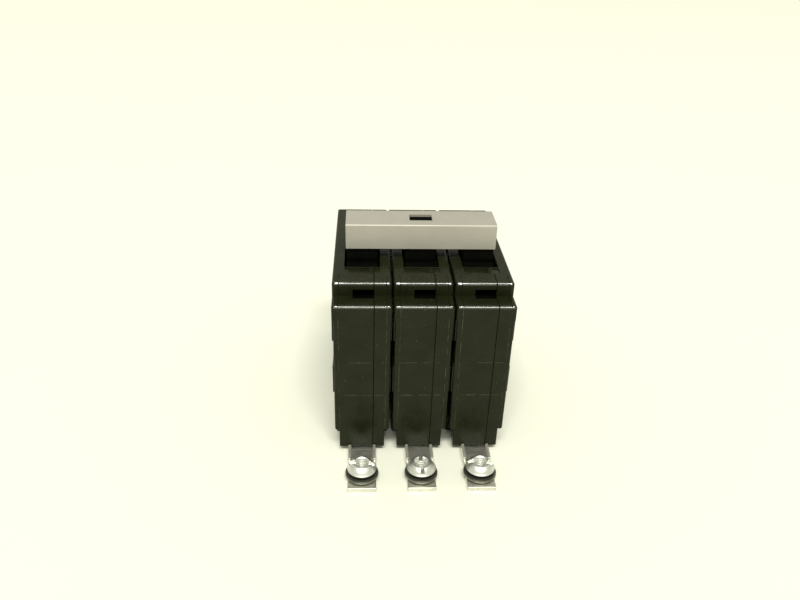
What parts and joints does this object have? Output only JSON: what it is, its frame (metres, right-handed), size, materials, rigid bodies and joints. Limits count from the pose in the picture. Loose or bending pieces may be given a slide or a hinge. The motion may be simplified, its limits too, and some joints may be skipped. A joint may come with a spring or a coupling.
{
  "type": "circuit breaker",
  "caption": "Bolt-on moulded-case breaker with side-by-side poles, a shared handle tie, slotted captive nuts on flat line tabs and screw lugs at the load end.",
  "frame": {"origin": "under the middle of the whole breaker, on the plane that it rests on", "axes": "+Z is the way the handles point, -Y is the line end with the bolt-on tabs, +Y is the load end, and X runs across the poles"},
  "size_m": [0.0566, 0.0984, 0.0726],
  "materials": {
    "case_black": "moulded phenolic, polished mould finish",
    "handle_black": "moulded thermoplastic, semi-gloss",
    "tie_grey": "satin grey coating on folded sheet",
    "tin_plate": "bright tin plate on copper strip",
    "zinc_nut": "clear zinc plate on turned steel",
    "zinc_screw": "clear zinc plate on steel",
    "washer_steel": "darker spring steel",
    "copper": "bare copper strip",
    "contact_silver": "silver alloy facing",
    "chute_fibre": "vulcanised fibre sides with steel plates",
    "sheet_steel": "plain stamped sheet",
    "spring_steel": "oiled spring wire",
    "rivet_steel": "plated steel, rolled heads",
    "flag_orange": "moulded orange plastic"
  },
  "bodies": {
    "case": {"base_1": "case_black", "cover_1": "case_black", "line_tab_1": "tin_plate", "fixed_contact_1": "contact_silver", "arc_chute_1": "chute_fibre", "toggle_spring_1": "spring_steel", "bimetal_1": "sheet_steel", "magnet_yoke_1": "sheet_steel", "load_strap_1": "copper", "base_2": "case_black", "cover_2": "case_black", "line_tab_2": "tin_plate", "fixed_contact_2": "contact_silver", "arc_chute_2": "chute_fibre", "toggle_spring_2": "spring_steel", "bimetal_2": "sheet_steel", "magnet_yoke_2": "sheet_steel", "load_strap_2": "copper", "base_3": "case_black", "cover_3": "case_black", "line_tab_3": "tin_plate", "fixed_contact_3": "contact_silver", "arc_chute_3": "chute_fibre", "toggle_spring_3": "spring_steel", "bimetal_3": "sheet_steel", "magnet_yoke_3": "sheet_steel", "load_strap_3": "copper", "case_rivet_1": "rivet_steel", "case_rivet_2": "rivet_steel", "case_rivet_3": "rivet_steel", "case_rivet_4": "rivet_steel"},
    "handle_set": {"handle_1": "handle_black", "handle_2": "handle_black", "handle_3": "handle_black", "handle_tie": "tie_grey"},
    "contact_arm_1": {"contact_arm_1": "copper"},
    "contact_arm_2": {"contact_arm_2": "copper"},
    "contact_arm_3": {"contact_arm_3": "copper"},
    "trip_bar": {"trip_bar": "handle_black"},
    "cradle_1": {"cradle_1": "sheet_steel"},
    "armature_1": {"armature_1": "sheet_steel"},
    "trip_flag_1": {"trip_flag_1": "flag_orange"},
    "cradle_2": {"cradle_2": "sheet_steel"},
    "armature_2": {"armature_2": "sheet_steel"},
    "trip_flag_2": {"trip_flag_2": "flag_orange"},
    "cradle_3": {"cradle_3": "sheet_steel"},
    "armature_3": {"armature_3": "sheet_steel"},
    "trip_flag_3": {"trip_flag_3": "flag_orange"},
    "line_nut_1": {"line_nut_1": "zinc_nut", "line_washer_1": "washer_steel"},
    "line_nut_2": {"line_nut_2": "zinc_nut", "line_washer_2": "washer_steel"},
    "line_nut_3": {"line_nut_3": "zinc_nut", "line_washer_3": "washer_steel"},
    "wire_clamp_1": {"clamp_plate_1": "zinc_screw", "load_screw_1": "zinc_screw"},
    "wire_clamp_2": {"clamp_plate_2": "zinc_screw", "load_screw_2": "zinc_screw"},
    "wire_clamp_3": {"clamp_plate_3": "zinc_screw", "load_screw_3": "zinc_screw"}
  },
  "joints": [
    {"name": "handle_throw", "type": "hinge", "parent": "case", "child": "handle_set", "pos_m": [0, 0.00055, 0.037], "axis": [1, 0, 0], "range_deg": [-13, 13], "deforming": ["toggle_spring_1", "toggle_spring_2", "toggle_spring_3"]},
    {"name": "contact_swing_1", "type": "hinge", "parent": "handle_set", "child": "contact_arm_1", "pos_m": [-0.01897, 0.00055, 0.0305], "axis": [1, 0, 0], "range_deg": [-32, 32]},
    {"name": "contact_swing_2", "type": "hinge", "parent": "handle_set", "child": "contact_arm_2", "pos_m": [0.00007, 0.00055, 0.0305], "axis": [1, 0, 0], "range_deg": [-32, 32]},
    {"name": "contact_swing_3", "type": "hinge", "parent": "handle_set", "child": "contact_arm_3", "pos_m": [0.01912, 0.00055, 0.0305], "axis": [1, 0, 0], "range_deg": [-32, 32]},
    {"name": "trip", "type": "hinge", "parent": "case", "child": "trip_bar", "pos_m": [0.00007, 0.02185, 0.012], "axis": [1, 0, 0], "range_deg": [-10, 0]},
    {"name": "cradle_drop_1", "type": "hinge", "parent": "case", "child": "cradle_1", "pos_m": [-0.01897, 0.00825, 0.04], "axis": [1, 0, 0], "range_deg": [-20.5, 0.5]},
    {"name": "armature_swing_1", "type": "hinge", "parent": "case", "child": "armature_1", "pos_m": [-0.01897, 0.02445, 0.042], "axis": [1, 0, 0], "range_deg": [-0.1, 3.1]},
    {"name": "flag_rise_1", "type": "slide", "parent": "case", "child": "trip_flag_1", "axis": [0, 0, 1], "range_m": [-0.0001, 0.0031]},
    {"name": "cradle_drop_2", "type": "hinge", "parent": "case", "child": "cradle_2", "pos_m": [0.00007, 0.00825, 0.04], "axis": [1, 0, 0], "range_deg": [-20.5, 0.5]},
    {"name": "armature_swing_2", "type": "hinge", "parent": "case", "child": "armature_2", "pos_m": [0.00007, 0.02445, 0.042], "axis": [1, 0, 0], "range_deg": [-0.1, 3.1]},
    {"name": "flag_rise_2", "type": "slide", "parent": "case", "child": "trip_flag_2", "axis": [0, 0, 1], "range_m": [-0.0001, 0.0031]},
    {"name": "cradle_drop_3", "type": "hinge", "parent": "case", "child": "cradle_3", "pos_m": [0.01912, 0.00825, 0.04], "axis": [1, 0, 0], "range_deg": [-20.5, 0.5]},
    {"name": "armature_swing_3", "type": "hinge", "parent": "case", "child": "armature_3", "pos_m": [0.01912, 0.02445, 0.042], "axis": [1, 0, 0], "range_deg": [-0.1, 3.1]},
    {"name": "flag_rise_3", "type": "slide", "parent": "case", "child": "trip_flag_3", "axis": [0, 0, 1], "range_m": [-0.0001, 0.0031]},
    {"name": "nut_spin_1", "type": "hinge", "parent": "case", "child": "line_nut_1", "pos_m": [-0.01897, -0.04275, 0.003], "axis": [0, 0, 1], "continuous": true},
    {"name": "nut_spin_2", "type": "hinge", "parent": "case", "child": "line_nut_2", "pos_m": [0.00007, -0.04275, 0.003], "axis": [0, 0, 1], "continuous": true},
    {"name": "nut_spin_3", "type": "hinge", "parent": "case", "child": "line_nut_3", "pos_m": [0.01912, -0.04275, 0.003], "axis": [0, 0, 1], "continuous": true},
    {"name": "clamp_slide_1", "type": "slide", "parent": "case", "child": "wire_clamp_1", "axis": [0, 0, -1], "range_m": [0, 0.0048]},
    {"name": "clamp_slide_2", "type": "slide", "parent": "case", "child": "wire_clamp_2", "axis": [0, 0, -1], "range_m": [0, 0.0048]},
    {"name": "clamp_slide_3", "type": "slide", "parent": "case", "child": "wire_clamp_3", "axis": [0, 0, -1], "range_m": [0, 0.0048]}
  ],
  "couplings": [
    {"joint": "contact_swing_1", "follows": "handle_throw", "ratio": -2.45},
    {"joint": "contact_swing_2", "follows": "handle_throw", "ratio": -2.45},
    {"joint": "contact_swing_3", "follows": "handle_throw", "ratio": -2.45},
    {"joint": "cradle_drop_1", "follows": "trip", "ratio": 2},
    {"joint": "armature_swing_1", "follows": "trip", "ratio": -0.3},
    {"joint": "flag_rise_1", "follows": "trip", "m_per_rad": -0.0171},
    {"joint": "cradle_drop_2", "follows": "trip", "ratio": 2},
    {"joint": "armature_swing_2", "follows": "trip", "ratio": -0.3},
    {"joint": "flag_rise_2", "follows": "trip", "m_per_rad": -0.0171},
    {"joint": "cradle_drop_3", "follows": "trip", "ratio": 2},
    {"joint": "armature_swing_3", "follows": "trip", "ratio": -0.3},
    {"joint": "flag_rise_3", "follows": "trip", "m_per_rad": -0.0171}
  ]
}
